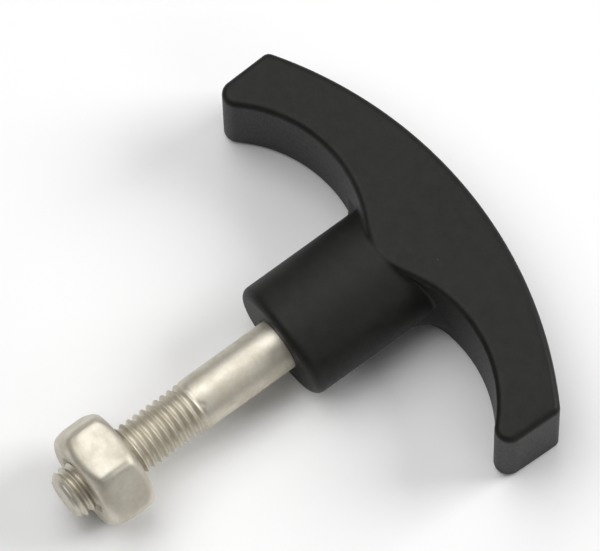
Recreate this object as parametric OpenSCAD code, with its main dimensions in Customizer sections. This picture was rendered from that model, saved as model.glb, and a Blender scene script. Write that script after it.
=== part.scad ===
// Quick lock handle: a bow-shaped moulded T handle with a steel stud moulded
// into its hub and a hexagon nut run on near the stud's tip.
//
// Frame: millimetres, +Z up. The origin is on the stud's axis, in the plane of
// the hub's end face. The stud points along -Y, the crossbar lies along X
// beyond the hub, and the crossbar's flat back faces -Z.

/* [Crossbar] */
// Length of the crossbar, measured 12.5 mm below the crown of the bow
bar_length = 86.4; // [84:0.1:100]
// Thickness of the crossbar from its back to its front
bar_thickness = 19.6; // [19.6:0.2:26]
// Radius of the bow's outer edge, seen from the front
bow_radius = 80; // [70:1:100]
// Lean of each end face, the bar being longer at the bow
end_lean = 2; // [0.5:0.1:3]
// Radius of each finger scoop
scoop_radius = 26; // [25:0.1:26.4]
// Distance of each scoop's centre from the middle plane
scoop_x = 19.2; // [18.8:0.1:20]
// Distance of each scoop's centre from the bow's crown
scoop_y = 41.4; // [40.6:0.1:42.2]
// Distance from the crown to the straight edge between the scoops
waist_y = 20.8; // [20.2:0.1:22]
// Radius on the long edges of the front and back
edge_radius = 1.3; // [0.6:0.1:1.3]
// Radius of the corner where each end face meets the bow
crown_corner = 1.6; // [1.6:0.1:4]
// Radius of the full round tip of each end
tip_radius = 2.7; // [1.6:0.1:3.4]

/* [Hub] */
// Width of the hub, across the crossbar's front
hub_width = 23.4; // [22.6:0.1:24.4]
// Depth of the hub, from back to front
hub_depth = 19; // [18.4:0.1:19.2]
// Radius of the hub's front and back
hub_front_radius = 16; // [13:0.5:24]
// Distance from the hub's end face to the bow's crown
hub_to_crown = 43.1; // [40:0.1:48]
// Radius on the rim of the hub's end face
hub_rim = 1.75; // [0.5:0.05:3]

/* [Stud] */
// Nominal thread diameter, also the plain shank's
stud_diameter = 10; // [8:1:12]
// Length of the stud that stands out of the hub
stud_out = 47.8; // [45:0.1:80]
// Length of the plain shank that stands out of the hub
shank_out = 18.3; // [5:0.1:25]
// Width of the groove in which the thread runs out at the shank
runout_width = 1.0; // [0.8:0.1:1.5]
// Depth of that groove below the shank
runout_depth = 0.4; // [0.2:0.05:0.8]
// Depth by which the crest of the thread lies below the nominal diameter
crest_drop = 0.075; // [0.03:0.005:0.15]
// Length of the chamfer at the tip
tip_chamfer = 1.2; // [0.5:0.1:2]
// Length of the stud inside the hub, up to the hidden head
shank_in = 20; // [15:0.5:24]
// Depth of the step from the shank to the thinner grip inside the hub
grip_step = 0.3; // [0.2:0.05:0.8]
// Width across flats of the hidden head that locks the stud in the moulding
head_flats = 16; // [14:0.5:17]
// Thickness of the hidden head
head_height = 6.4; // [4:0.1:8]

/* [Nut] */
// Width across the nut's flats
nut_flats = 19; // [16:0.1:19.6]
// Height of the nut
nut_height = 9.4; // [6:0.1:10]
// Distance from the hub's end face to the nut's near face
nut_from_hub = 34.4; // [26:0.1:35]
// Radial clearance between the nut's bore and the thread's crest
nut_clearance = 0.05; // [0.02:0.01:0.09]
// Turn of the nut about the stud, from a flat facing up
nut_turn = 6; // [0:1:60]
// Angle of the chamfer on both faces of the nut
nut_chamfer_angle = 28; // [15:1:35]
// Width of the flat ring's rim on the nut's outer face, as a share of its flats
nut_outer_face = 0.82; // [0.76:0.01:0.95]

/* [Hidden] */
$fn = 96;
eps = 0.01;
proud = 0.05;
shoulder_in = 0.1;
plastic = [0.21, 0.21, 0.20];
zinc = [0.74, 0.73, 0.68];
half_t = bar_thickness / 2;
crest_r = stud_diameter / 2 - crest_drop;
bore_r = crest_r + nut_clearance;

// Centres and lines below are for the +X half, in the plane seen from the front.
bow_y = hub_to_crown - bow_radius;
scoop_c = [scoop_x, hub_to_crown - scoop_y];
end_p = [bar_length / 2, hub_to_crown - 12.5];
end_n = [cos(end_lean), -sin(end_lean)];
end_u = [sin(end_lean), cos(end_lean)];

// Point at distance r inside the end face and distance d from centre c, on the
// side of c that s gives: +1 towards the crown, -1 away from it.
function on_end(r, d, c, s) =
  let (p = end_p - r * end_n, v = p - c, b = v * end_u, q = b * b - v * v + d * d)
  p + (-b + s * sqrt(q)) * end_u;
crown_c = on_end(crown_corner, bow_radius - crown_corner, [0, bow_y], 1);
tip_c = on_end(tip_radius, scoop_radius + tip_radius, scoop_c, 1);
crown_a = atan2(crown_c[1] - bow_y, crown_c[0]);
tip_a = atan2(scoop_c[1] - tip_c[1], scoop_c[0] - tip_c[0]);

// Half section of a round plate of half height h whose rim is rounded by e.
module rounded_half_section(r, h, e) {
  translate([0, -h + e]) square([r, 2 * (h - e)]);
  translate([0, -h]) square([r - e, 2 * h]);
  for (s = [-1, 1]) translate([r - e, s * (h - e)]) intersection() {
    circle(r = e);
    translate([0, -e - 1]) square([e + 1, 2 * e + 2]);
  }
}

// Sector seen from the front, at c, between the directions a0 and a1.
module sector(c, a0, a1, r = 20, h = 60) {
  m = (a0 + a1) / 2;
  translate([c[0], c[1], -h / 2]) linear_extrude(height = h)
    polygon([[0, 0], r * [cos(a0), sin(a0)], 3 * r * [cos(m), sin(m)], r * [cos(a1), sin(a1)]]);
}

// Round post that forms a corner of radius r at c. It stands proud of the
// faces it joins by proud, so that they meet it in true edges.
module corner(c, r) {
  translate([c[0], c[1], 0]) rotate_extrude() rounded_half_section(r + proud, half_t, edge_radius);
}

// Block that ends the bar at one end face, with its long edges rounded.
module end_limit() {
  translate([end_p[0], end_p[1], 0]) rotate([0, 0, -end_lean])
    translate([0, 60, 0]) rotate([90, 0, 0]) linear_extrude(height = 120)
      union() {
        translate([-110, -half_t]) square([110 - edge_radius, 2 * half_t]);
        translate([-110, -half_t + edge_radius]) square([110, 2 * (half_t - edge_radius)]);
        for (t = [-1, 1]) translate([-edge_radius, t * (half_t - edge_radius)]) circle(r = edge_radius);
      }
}

// Tool that cuts one finger scoop and rounds its front and back edges.
module scoop_tool() {
  translate([scoop_c[0], scoop_c[1], 0])
    rotate_extrude($fn = 180)
      union() {
        translate([0, -half_t - 1]) square([scoop_radius, bar_thickness + 2]);
        for (t = [-1, 1]) difference() {
          translate([scoop_radius - eps, t > 0 ? half_t - edge_radius : -half_t - 1])
            square([edge_radius + eps, edge_radius + 1]);
          translate([scoop_radius + edge_radius, t * (half_t - edge_radius)]) circle(r = edge_radius);
        }
      }
}

// Tool that ends the bar between the scoops and rounds the two edges there.
module waist_tool() {
  e = edge_radius;
  y = hub_to_crown - waist_y;
  translate([-5.2, 0, 0]) rotate([90, 0, 90]) linear_extrude(height = 10.4)
    union() {
      translate([-10, -half_t - 1]) square([y + 10, bar_thickness + 2]);
      for (t = [-1, 1]) difference() {
        translate([y - eps, t > 0 ? half_t - e : -half_t - 1]) square([e + eps, e + 1]);
        translate([y + e, t * (half_t - e)]) circle(r = e);
      }
    }
}

module both_sides() {
  children();
  mirror([1, 0, 0]) children();
}

module crossbar() {
  difference() {
    intersection() {
      translate([0, bow_y, 0]) rotate_extrude($fn = 240) rounded_half_section(bow_radius, half_t, edge_radius);
      end_limit();
      mirror([1, 0, 0]) end_limit();
      translate([-60, 0, -50]) cube([120, 60, 100]);
    }
    both_sides() {
      scoop_tool();
      sector(crown_c, -end_lean, crown_a);
      sector(tip_c, tip_a, -end_lean);
    }
    waist_tool();
  }
  both_sides() {
    corner(crown_c, crown_corner);
    corner(tip_c, tip_radius);
  }
}

// Round bar of radius r along the hub's axis, its rim rounded.
module hub_round(r) {
  rotate([-90, 0, 0])
    rotate_extrude($fn = 180) {
      translate([0, hub_rim]) square([r, 31 - hub_rim]);
      square([r - hub_rim, 31]);
      translate([r - hub_rim, hub_rim]) intersection() {
        circle(r = hub_rim);
        translate([0, -hub_rim - 1]) square([hub_rim + 1, 2 * hub_rim + 1]);
      }
    }
}

// Hub: round at the sides, flatter at the front and back.
module hub() {
  intersection() {
    hub_round(hub_width / 2);
    translate([0, 0, hub_depth / 2 - hub_front_radius]) hub_round(hub_front_radius);
    translate([0, 0, hub_front_radius - hub_depth / 2]) hub_round(hub_front_radius);
  }
}

// The stud turned to its profile, with its hexagonal head. The shoulder between
// the shank and the thinner grip lies just inside the hub's end face.
module stud_solid() {
  r = stud_diameter / 2;
  rotate([90, 0, 0]) {
    rotate_extrude()
      polygon([[0, -shank_in - eps], [r - grip_step, -shank_in - eps], [r - grip_step, -shoulder_in],
               [r, -shoulder_in], [r, shank_out], [r - runout_depth, shank_out + runout_width / 2],
               [crest_r, shank_out + runout_width], [crest_r, stud_out - tip_chamfer],
               [crest_r - tip_chamfer, stud_out], [0, stud_out]]);
    translate([0, 0, -shank_in - head_height]) cylinder(r = head_flats / 2 / cos(30), h = head_height, $fn = 6);
  }
}

// Moulded T handle: crossbar and hub in one piece, moulded around the stud.
module handle() {
  color(plastic)
    difference() {
      union() {
        crossbar();
        hub();
      }
      stud_solid();
    }
}

// Threaded stud with a plain shank and a hidden hexagonal head.
module stud() {
  color(zinc) stud_solid();
}

// Hexagon nut with both faces chamfered, the outer one more.
module nut() {
  corner_r = nut_flats / 2 / cos(30);
  face_r = 0.95 * nut_flats / 2;
  outer_r = nut_outer_face * nut_flats / 2;
  rise = (corner_r + 1 - face_r) * tan(nut_chamfer_angle);
  outer_rise = (corner_r + 1 - outer_r) * tan(nut_chamfer_angle);
  color(zinc)
    translate([0, -nut_from_hub, 0]) rotate([90, 0, 0]) rotate([0, 0, nut_turn])
      difference() {
        intersection() {
          cylinder(r = corner_r, h = nut_height, $fn = 6);
          rotate_extrude()
            polygon([[0, 0], [face_r, 0], [corner_r + 1, rise], [corner_r + 1, nut_height - outer_rise],
                     [outer_r, nut_height], [0, nut_height]]);
        }
        translate([0, 0, -1]) cylinder(r = bore_r, h = nut_height + 2);
        for (t = [0, 1]) translate([0, 0, t * nut_height]) mirror([0, 0, t])
          translate([0, 0, -eps]) cylinder(r1 = bore_r + 0.7, r2 = bore_r - eps, h = 0.7 + 2 * eps);
      }
}

handle();
stud();
nut();
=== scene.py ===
import bpy, math
import numpy as np
from mathutils import Matrix, Vector


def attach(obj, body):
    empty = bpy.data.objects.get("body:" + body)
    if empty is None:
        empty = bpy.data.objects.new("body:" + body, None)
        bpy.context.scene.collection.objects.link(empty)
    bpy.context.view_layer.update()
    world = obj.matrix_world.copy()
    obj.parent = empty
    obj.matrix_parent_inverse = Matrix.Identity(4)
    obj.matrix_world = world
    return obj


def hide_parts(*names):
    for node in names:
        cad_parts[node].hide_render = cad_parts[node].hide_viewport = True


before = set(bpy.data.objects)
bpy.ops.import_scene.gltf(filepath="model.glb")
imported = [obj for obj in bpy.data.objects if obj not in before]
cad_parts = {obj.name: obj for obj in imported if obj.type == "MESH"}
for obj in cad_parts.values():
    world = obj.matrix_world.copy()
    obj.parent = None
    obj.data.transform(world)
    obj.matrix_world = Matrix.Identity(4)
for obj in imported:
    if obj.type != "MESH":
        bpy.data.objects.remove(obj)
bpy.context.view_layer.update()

# ---------------------------------------------------------------- sizes, mm
BAR_HALF_L, HALF_T, BOW_R, LEAN = 43.2, 9.8, 80.0, math.radians(2.0)
SCOOP_R, SCOOP_X, SCOOP_Y = 26.0, 19.2, 1.7
CROWN_Y, WAIST_Y, EDGE_R, CROWN_CORNER, TIP_R = 43.1, 22.3, 1.3, 1.6, 2.7
SIDE_R, SIDE_OFF, LONG_R, LONG_OFF, HUB_RIM = 8.8, 2.9, 15.157, 5.657, 1.75
STUD_R, CREST_R, ROOT_R, PITCH = 5.0, 4.925, 4.24, 1.5
STUD_OUT, SHANK_OUT, TIP_CH = 47.8, 18.3, 1.2
NUT_AF, NUT_H, NUT_Y, NUT_TURN = 19.0, 9.4, 34.4, math.radians(6.0)
BORE_R = 4.975


# ---------------------------------------------------------------- distance fields
def meet(a, b, r):
    """Both, with the edge between them rounded by r."""
    return np.minimum(-r, np.maximum(a, b)) + np.hypot(np.maximum(a + r, 0), np.maximum(b + r, 0))


def join(a, b, r):
    """Either, with the corner between them filled by r."""
    return np.maximum(r, np.minimum(a, b)) - np.hypot(np.maximum(r - a, 0), np.maximum(r - b, 0))


def soften(a, b, k):
    """Both, with a soft edge about k wide."""
    h = np.maximum(k - np.abs(a - b), 0) / k
    return np.maximum(a, b) + h * h * k * 0.25


def step(x, lo, hi):
    t = np.clip((x - lo) / (hi - lo), 0, 1)
    return t * t * (3 - 2 * t)


def on_end(r, d, c):
    """Centre at distance r inside the end face and distance d from c."""
    n, u = np.array([math.cos(LEAN), -math.sin(LEAN)]), np.array([math.sin(LEAN), math.cos(LEAN)])
    p = np.array([BAR_HALF_L, CROWN_Y - 12.5]) - r * n
    v = p - c
    b = v @ u
    return p + (-b + math.sqrt(b * b - v @ v + d * d)) * u


SCOOP_C = np.array([SCOOP_X, SCOOP_Y])
CROWN_C = on_end(CROWN_CORNER, BOW_R - CROWN_CORNER, np.array([0.0, CROWN_Y - BOW_R]))
TIP_C = on_end(TIP_R, SCOOP_R + TIP_R, SCOOP_C)


def corner(d, x, y, c, r, a0, a1):
    """d, with the corner around c replaced by a circle of radius r."""
    a = np.arctan2(y - c[1], x - c[0])
    return np.where((a > a0) & (a < a1), np.hypot(x - c[0], y - c[1]) - r, d)


def handle_field(p):
    x, y, z = np.abs(p[..., 0]), p[..., 1], p[..., 2]
    bow = np.hypot(x, y - (CROWN_Y - BOW_R)) - BOW_R
    end = (x - BAR_HALF_L) * math.cos(LEAN) - (y - (CROWN_Y - 12.5)) * math.sin(LEAN)
    scoop = SCOOP_R - np.hypot(x - SCOOP_X, y - SCOOP_Y)
    front = np.maximum(np.maximum(bow, end), scoop)
    front = corner(front, x, y, CROWN_C, CROWN_CORNER, -LEAN, math.atan2(CROWN_C[1] - CROWN_Y + BOW_R, CROWN_C[0]))
    front = corner(front, x, y, TIP_C, TIP_R, math.atan2(*(SCOOP_C - TIP_C)[::-1]), -LEAN)
    front = soften(front, np.minimum(WAIST_Y - y, 9 - x), 2.4)
    slab = np.abs(z) - HALF_T
    bar = meet(front, slab, EDGE_R)
    za = np.abs(z)
    oval = np.where(x * LONG_OFF < SIDE_OFF * (za + LONG_OFF),
                    np.hypot(x, za + LONG_OFF) - LONG_R, np.hypot(x - SIDE_OFF, za) - SIDE_R)
    hub = np.maximum(meet(oval, -y, HUB_RIM), y - 31)
    root = 0.4 + 5.2 * step(-z, -1.5, 4.0)
    body = np.maximum(join(bar, hub, root), slab)
    socket = np.minimum(STUD_R - np.hypot(x, z), 1.6 - y)
    return meet(body, socket, 0.22)


def fold(px, py):
    """Coordinates along and across the nearest side of a hexagon."""
    kx, ky = -0.866025404, 0.5
    px, py = np.abs(px), np.abs(py)
    d = 2 * np.minimum(kx * px + ky * py, 0)
    return px - d * kx, py - d * ky


def hexagon(a, b, r):
    a, b = a - np.clip(a, -0.577350269 * r, 0.577350269 * r), b - r
    return np.hypot(a, b) * np.sign(b)


def nut_field(p):
    x, u, z = p[..., 0], -NUT_Y - p[..., 1], p[..., 2]
    rho, phi = np.hypot(x, z), np.arctan2(z, x) - NUT_TURN
    a, b = fold(rho * np.cos(phi), rho * np.sin(phi))
    body = hexagon(a, b, NUT_AF / 2 - 1.5) - 1.5
    # each flat is even in the middle and falls away a little towards its edges
    away = np.maximum(np.hypot(np.maximum(np.abs(a) - 2.2, 0), np.maximum(np.abs(u - 3.6) - 1.2, 0)) - 1.8, 0)
    body = body + 0.13 * np.minimum(away, 1) ** 2 + 0.22 * np.maximum(away - 1, 0)
    # the flats' corners are worn round
    body = soften(body, np.hypot(rho, u - 4.1) - 10.85, 0.3)
    for v, face, slope in ((u, 0.95 * NUT_AF / 2, 33), (NUT_H - u, 0.87 * NUT_AF / 2, 28)):
        c, s = math.cos(math.radians(slope)), math.sin(math.radians(slope))
        body = soften(body, (rho - face) * s - v * c, 0.9)
        body = soften(body, -v, 0.22)
    for v in (u, NUT_H - u):
        body = soften(body, (BORE_R + 0.95 - v - rho) * 0.7071, 0.15)
    return np.maximum(body, BORE_R - rho)


# ---------------------------------------------------------------- mesh from a field
def surface(field, lo, hi, h):
    """Vertices and quads on the field's zero surface, on a grid of step h."""
    axes = [np.arange(a, b + h, h) for a, b in zip(lo, hi)]
    n = [len(a) for a in axes]
    F = np.empty(n)
    for i in range(n[0]):
        g = np.stack(np.meshgrid(axes[0][i:i + 1], axes[1], axes[2], indexing="ij"), -1)
        F[i] = field(g)[0]
    F[F == 0] = 1e-9
    inside = F < 0
    m = [k - 1 for k in n]
    count = np.zeros(m, int)
    for a in (0, 1):
        for b in (0, 1):
            for c in (0, 1):
                count += inside[a:a + m[0], b:b + m[1], c:c + m[2]]
    active = np.argwhere((count > 0) & (count < 8))
    index = np.full(m, -1)
    index[tuple(active.T)] = np.arange(len(active))
    total, hits = np.zeros((len(active), 3)), np.zeros(len(active))
    corners = [(a, b, c) for a in (0, 1) for b in (0, 1) for c in (0, 1)]
    for p in corners:
        for ax in range(3):
            if p[ax]:
                continue
            q = list(p)
            q[ax] = 1
            fp = F[tuple((active + p).T)]
            fq = F[tuple((active + q).T)]
            on = (fp < 0) != (fq < 0)
            t = np.where(on, fp / np.where(on, fp - fq, 1), 0)
            pos = active + np.array(p, float)
            pos[:, ax] += t
            total[on] += pos[on]
            hits += on
    verts = np.array([a[0] for a in axes]) + h * total / hits[:, None]
    quads = []
    for ax in range(3):
        b, c = (ax + 1) % 3, (ax + 2) % 3
        lo_s, hi_s = [slice(None)] * 3, [slice(None)] * 3
        lo_s[ax], hi_s[ax] = slice(0, -1), slice(1, None)
        A, B = inside[tuple(lo_s)], inside[tuple(hi_s)]
        e = np.argwhere(A != B)
        keep = (e[:, b] > 0) & (e[:, c] > 0) & (e[:, b] < n[b] - 1) & (e[:, c] < n[c] - 1)
        e = e[keep]
        ob, oc = np.zeros(3, int), np.zeros(3, int)
        ob[b], oc[c] = 1, 1
        q = np.stack([index[tuple((e - ob - oc).T)], index[tuple((e - oc).T)],
                      index[tuple(e.T)], index[tuple((e - ob).T)]], 1)
        out = A[tuple(e.T)]
        q[~out] = q[~out][:, ::-1]
        quads.append(q)
    quads = np.vstack(quads)
    d = 0.004
    for _ in range(5):
        f = field(verts)
        g = np.stack([field(verts + d * np.eye(3)[k]) - field(verts - d * np.eye(3)[k]) for k in range(3)], 1) / (2 * d)
        s = f / np.maximum((g * g).sum(1), 0.25)
        verts = verts - np.clip(s, -0.4 * h, 0.4 * h)[:, None] * g
    return verts, quads


def make_object(name, verts, faces):
    """A smooth-shaded mesh object from points in mm."""
    me = bpy.data.meshes.new(name)
    me.from_pydata([tuple(v) for v in np.asarray(verts) * 0.001], [], [tuple(int(i) for i in f) for f in faces])
    me.polygons.foreach_set("use_smooth", [True] * len(me.polygons))
    me.validate()
    me.update()
    ob = bpy.data.objects.new(name, me)
    bpy.context.scene.collection.objects.link(ob)
    return ob


# ---------------------------------------------------------------- the stud
def thread_radius(y, th):
    """Radius of the stud's outer end at height y and angle th, in mm."""
    u = (y / PITCH - th / (2 * math.pi)) % 1.0
    u = np.abs(np.where(u > 0.5, u - 1, u))
    r = np.interp(u, [0, 0.045, 0.075, 0.125, 0.375, 0.44, 0.5],
                  [CREST_R, CREST_R - 0.01, CREST_R - 0.05, CREST_R - 0.16, ROOT_R + 0.06, ROOT_R, ROOT_R - 0.01])
    g = step(-y, SHANK_OUT - 0.2, SHANK_OUT + 2.6)
    r = STUD_R * (1 - g) + r * g
    r = np.minimum(r, CREST_R - TIP_CH + (y + STUD_OUT) * 1.0)
    dx, dy = STUD_R * (th - math.radians(26)), y + SHANK_OUT
    return r - 0.14 * np.exp(-(dx * dx + 1.6 * dy * dy) / 0.25)


def stud_mesh():
    N, M = 144, 16
    y_top, y_end = -16.4, -STUD_OUT
    th = np.arange(N) * 2 * math.pi / N
    rings, verts, faces = [], [], []

    def ring(y, r):
        base = len(verts)
        r = np.broadcast_to(r, (N,))
        y = np.broadcast_to(y, (N,))
        verts.extend(np.stack([r * np.sin(th), y, r * np.cos(th)], 1))
        rings.append(list(range(base, base + N)))

    hex_r = 8.0 / np.cos((th % (math.pi / 3)) - math.pi / 6)
    for y, r in ((26.4, hex_r - 0.5), (25.95, hex_r), (20.35, hex_r), (20.0, hex_r - 0.35), (20.0, 5.3), (19.6, 5.0), (0.0, 5.0), (-8.0, 5.0), (y_top + 0.02, 5.0)):
        ring(y, r)
    for a, b in zip(rings, rings[1:]):
        faces += [(a[j], b[j], b[(j + 1) % N], a[(j + 1) % N]) for j in range(N)]
    faces.append(tuple(rings[0]))
    first = len(verts)
    rows = int(math.ceil((y_top - y_end) / PITCH * M)) + M + 2
    start = 0
    for i in range(rows):
        y = y_top - PITCH * i / M + PITCH * np.arange(N) / N
        y = np.clip(y, y_end, y_top)
        r = thread_radius(y, th)
        r = np.where(y >= y_top - 1e-9, STUD_R, r)
        verts.extend(np.stack([r * np.sin(th), y, r * np.cos(th)], 1))
    idx = lambda i, j: first + i * N + j
    for i in range(start, rows - 1):
        for j in range(N):
            if j < N - 1:
                f = (idx(i, j), idx(i + 1, j), idx(i + 1, j + 1), idx(i, j + 1))
            elif i >= M:
                f = (idx(i, j), idx(i + 1, j), idx(i + 1 - M, 0), idx(i - M, 0))
            else:
                continue
            faces.append(f)
    top = [idx(0, j) for j in range(N)]
    faces += [(rings[-1][j], top[j], top[(j + 1) % N], rings[-1][(j + 1) % N]) for j in range(N)]
    centre = len(verts)
    verts.append(np.array([0.0, y_end, 0.0]))
    tip = [idx(rows - 1, j) for j in range(N)]
    inner = len(verts)
    for k in (0.965, 0.5):
        for j in range(N):
            v = np.array(verts[tip[j]])
            verts.append(np.array([v[0] * k, y_end - 0.0, v[2] * k]))
    a, b = [inner + j for j in range(N)], [inner + N + j for j in range(N)]
    for p, q in ((tip, a), (a, b)):
        faces += [(p[j], q[j], q[(j + 1) % N], p[(j + 1) % N]) for j in range(N)]
    faces += [(b[j], centre, b[(j + 1) % N]) for j in range(N)]
    return np.array(verts), faces


def tidy(ob, dist=2e-7):
    import bmesh
    bm = bmesh.new()
    bm.from_mesh(ob.data)
    bmesh.ops.remove_doubles(bm, verts=bm.verts, dist=dist)
    bmesh.ops.dissolve_degenerate(bm, edges=bm.edges, dist=dist)
    bmesh.ops.recalc_face_normals(bm, faces=bm.faces)
    bm.to_mesh(ob.data)
    bm.free()
    ob.data.polygons.foreach_set("use_smooth", [True] * len(ob.data.polygons))


# ---------------------------------------------------------------- materials
def shader(name):
    m = bpy.data.materials.new(name)
    m.use_nodes = True
    nt = m.node_tree
    return m, nt, nt.nodes["Principled BSDF"]


def node(nt, kind, **values):
    n = nt.nodes.new(kind)
    for k, v in values.items():
        if k in n.inputs:
            n.inputs[k].default_value = v
        else:
            setattr(n, k, v)
    return n


def noise(nt, coord, scale, detail=2.0, rough=0.5, stretch=None):
    n = node(nt, "ShaderNodeTexNoise", Scale=scale, Detail=detail, Roughness=rough)
    if stretch:
        mp = node(nt, "ShaderNodeMapping")
        mp.inputs["Scale"].default_value = stretch
        nt.links.new(coord, mp.inputs["Vector"])
        coord = mp.outputs["Vector"]
    nt.links.new(coord, n.inputs["Vector"])
    return n.outputs["Fac"]


def ramp(nt, fac, a, b, c0, c1):
    r = node(nt, "ShaderNodeMapRange")
    r.inputs["From Min"].default_value, r.inputs["From Max"].default_value = a, b
    r.inputs["To Min"].default_value, r.inputs["To Max"].default_value = c0, c1
    nt.links.new(fac, r.inputs["Value"])
    return r.outputs["Result"]


def mix(nt, fac, a, b):
    m = node(nt, "ShaderNodeMix", data_type="RGBA")
    for sock, v in ((m.inputs[6], a), (m.inputs[7], b)):
        if isinstance(v, tuple):
            sock.default_value = v
        else:
            nt.links.new(v, sock)
    if isinstance(fac, float):
        m.inputs[0].default_value = fac
    else:
        nt.links.new(fac, m.inputs[0])
    return m.outputs[2]


def plastic_material():
    m, nt, b = shader("moulded_black")
    co = node(nt, "ShaderNodeTexCoord").outputs["Object"]
    grain = noise(nt, co, 2600, 3.0, 0.6)
    mottle = noise(nt, co, 420, 3.0, 0.55)
    cloud = noise(nt, co, 70, 2.0, 0.5)
    tone = mix(nt, ramp(nt, mottle, 0.35, 0.65, 0.0, 1.0), (0.0088, 0.0089, 0.0080, 1), (0.0126, 0.0125, 0.0113, 1))
    tone = mix(nt, ramp(nt, cloud, 0.3, 0.7, 0.0, 0.35), tone, (0.0145, 0.0142, 0.0128, 1))
    # the small light speck on the front
    dist = node(nt, "ShaderNodeVectorMath", operation="DISTANCE")
    dist.inputs[1].default_value = (0.00733, 0.0304, 0.0101)
    nt.links.new(co, dist.inputs[0])
    tone = mix(nt, ramp(nt, dist.outputs["Value"], 0.00018, 0.00034, 0.8, 0.0), tone, (0.16, 0.15, 0.14, 1))
    nt.links.new(tone, b.inputs["Base Color"])
    nt.links.new(ramp(nt, grain, 0.3, 0.7, 0.42, 0.56), b.inputs["Roughness"])
    b.inputs["Specular IOR Level"].default_value = 0.21
    b.inputs["IOR"].default_value = 1.49
    bump = node(nt, "ShaderNodeBump", Strength=0.35, Distance=0.00003)
    nt.links.new(grain, bump.inputs["Height"])
    bump2 = node(nt, "ShaderNodeBump", Strength=0.25, Distance=0.00012)
    nt.links.new(mottle, bump2.inputs["Height"])
    nt.links.new(bump.outputs["Normal"], bump2.inputs["Normal"])
    nt.links.new(bump2.outputs["Normal"], b.inputs["Normal"])
    return m


def zinc_material(name, along, rough=(0.46, 0.6)):
    """Bright zinc on steel, with fine turning marks around the axis where along is true."""
    m, nt, b = shader(name)
    co = node(nt, "ShaderNodeTexCoord").outputs["Object"]
    fine = noise(nt, co, 1500, 3.0, 0.6)
    patch = noise(nt, co, 260, 3.0, 0.6)
    tone = mix(nt, ramp(nt, patch, 0.35, 0.68, 0.0, 1.0), (0.69, 0.65, 0.565, 1), (0.59, 0.55, 0.455, 1))
    tone = mix(nt, ramp(nt, fine, 0.4, 0.75, 0.0, 0.25), tone, (0.48, 0.45, 0.38, 1))
    nt.links.new(tone, b.inputs["Base Color"])
    b.inputs["Metallic"].default_value = 1.0
    nt.links.new(ramp(nt, patch, 0.3, 0.7, rough[0], rough[1]), b.inputs["Roughness"])
    height = noise(nt, co, 900, 2.0, 0.5, (0.12, 6.0, 0.12) if along else None)
    bump = node(nt, "ShaderNodeBump", Strength=0.18, Distance=0.00004)
    nt.links.new(height, bump.inputs["Height"])
    bump2 = node(nt, "ShaderNodeBump", Strength=0.2, Distance=0.00006)
    nt.links.new(patch, bump2.inputs["Height"])
    nt.links.new(bump.outputs["Normal"], bump2.inputs["Normal"])
    nt.links.new(bump2.outputs["Normal"], b.inputs["Normal"])
    return m


# ---------------------------------------------------------------- the object
v, q = surface(handle_field, (-44.6, -0.8, -10.9), (44.6, 43.8, 10.9), 0.36)
handle = make_object("handle_moulding", v, q)
handle.data.materials.append(plastic_material())
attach(handle, "handle")
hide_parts("handle")

v, q = stud_mesh()
stud = make_object("stud_threaded", v, q)
tidy(stud)
stud.data.materials.append(zinc_material("zinc_stud", True))
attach(stud, "handle")
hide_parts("stud")

v, q = surface(nut_field, (-11.3, -NUT_Y - NUT_H - 0.4, -11.3), (11.3, -NUT_Y + 0.4, 11.3), 0.17)
nut = make_object("nut_hexagon", v, q)
nut.data.materials.append(zinc_material("zinc_nut", False, (0.5, 0.62)))
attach(nut, "nut")
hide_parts("nut")

# ---------------------------------------------------------------- stage, light, camera
def flat_material(name, colour, rough=0.9):
    m, nt, b = shader(name)
    b.inputs["Base Color"].default_value = (*colour, 1)
    b.inputs["Roughness"].default_value = rough
    b.inputs["Specular IOR Level"].default_value = 0.1
    return m


bpy.ops.mesh.primitive_plane_add(size=3.0, location=(0, 0, -0.0099))
floor = bpy.context.object
floor.name = "floor"
floor.data.materials.append(flat_material("pale_floor", (0.93, 0.93, 0.93)))

world = bpy.data.worlds.new("studio")
bpy.context.scene.world = world
world.use_nodes = True
world.node_tree.nodes["Background"].inputs["Color"].default_value = (1.0, 0.99, 0.97, 1)
world.node_tree.nodes["Background"].inputs["Strength"].default_value = 0.08


def area(name, loc, target, size, power, colour=(1, 1, 1)):
    d = bpy.data.lights.new(name, "AREA")
    d.shape, d.size, d.size_y, d.energy, d.color = "RECTANGLE", size[0], size[1], power, colour
    o = bpy.data.objects.new(name, d)
    o.location = loc
    o.rotation_euler = (Vector(target) - Vector(loc)).to_track_quat("-Z", "Y").to_euler()
    bpy.context.scene.collection.objects.link(o)
    return o


area("softbox", (-0.35, -0.25, 1.1), (0, 0, 0), (1.0, 1.0), 7.4)
area("softbox_back", (0.4, 1.1, 0.8), (0, 0, 0), (0.7, 0.7), 12.5)
area("softbox_left", (-0.95, 0.45, 0.9), (0, 0, 0), (0.7, 0.7), 2.2)
area("overhead", (-0.25, 0.15, 0.9), (0, 0, 0), (0.8, 0.8), 1.7)
area("fill", (1.1, 0.1, 0.8), (0, 0, 0), (0.7, 0.7), 1.3)

cam_data = bpy.data.cameras.new("camera")
cam = bpy.data.objects.new("camera", cam_data)
bpy.context.scene.collection.objects.link(cam)
R = ((0.604761, 0.796311, -0.012382), (0.746250, -0.572036, -0.340421), (-0.278164, 0.196633, -0.940192))
cam.matrix_world = Matrix(((R[0][0], -R[1][0], -R[2][0], 0.3921853),
                           (R[0][1], -R[1][1], -R[2][1], -0.2718413),
                           (R[0][2], -R[1][2], -R[2][2], 1.3529231),
                           (0, 0, 0, 1)))
cam_data.sensor_width = 36.0
cam_data.lens = 8000 / 600 * 36.0
cam_data.clip_end = 20
bpy.context.scene.camera = cam
bpy.context.scene.view_settings.view_transform = "Standard"
